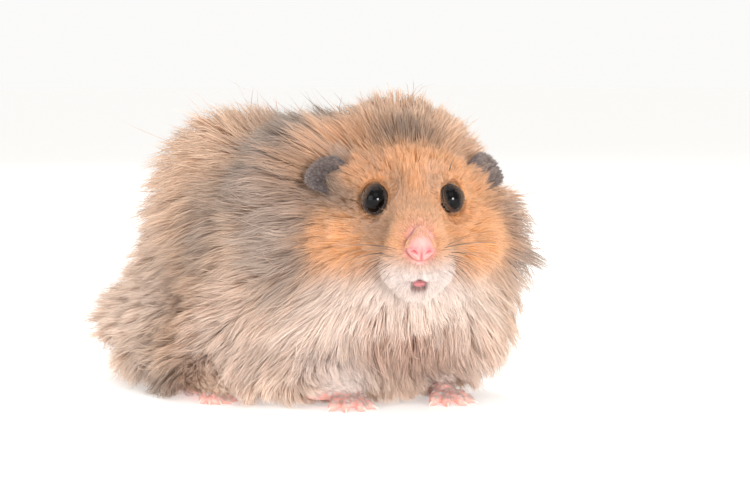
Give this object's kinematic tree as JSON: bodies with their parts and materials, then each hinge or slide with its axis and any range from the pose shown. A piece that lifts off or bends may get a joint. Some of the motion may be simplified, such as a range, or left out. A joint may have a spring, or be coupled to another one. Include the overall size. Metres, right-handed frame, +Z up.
{
  "type": "syrian hamster",
  "caption": "Still, life-size long-haired Syrian hamster standing on all its feet with its head turned to its right; bell-shaped orange, tan and grey coat, dark eyes, pink nose and paws.",
  "frame": {"origin": "middle of the bounding box, on the floor that the soles rest on", "axes": "+Z up; the trunk points along -Y, so +Y is the rump end of the longest extent; +X is the animal's left"},
  "size_m": [0.0752, 0.1284, 0.0712],
  "materials": {
    "coat": "long soft fur, orange to tan with grey streaks",
    "pale_coat": "short white fur",
    "bare_skin": "pink skin, satin",
    "ear_skin": "thin dark grey skin, matt",
    "eye": "wet and glossy, nearly black"
  },
  "bodies": {
    "root": {"ear_left": "ear_skin", "ear_right": "ear_skin", "eye_left": "eye", "eye_right": "eye", "foreleg_left": "pale_coat", "foreleg_right": "pale_coat", "forepaw_left": "bare_skin", "forepaw_right": "bare_skin", "head": "coat", "hindleg_left": "pale_coat", "hindleg_right": "pale_coat", "hindpaw_left": "bare_skin", "hindpaw_right": "bare_skin", "neck": "coat", "nose": "bare_skin", "tail": "bare_skin", "trunk": "coat"}
  },
  "joints": []
}
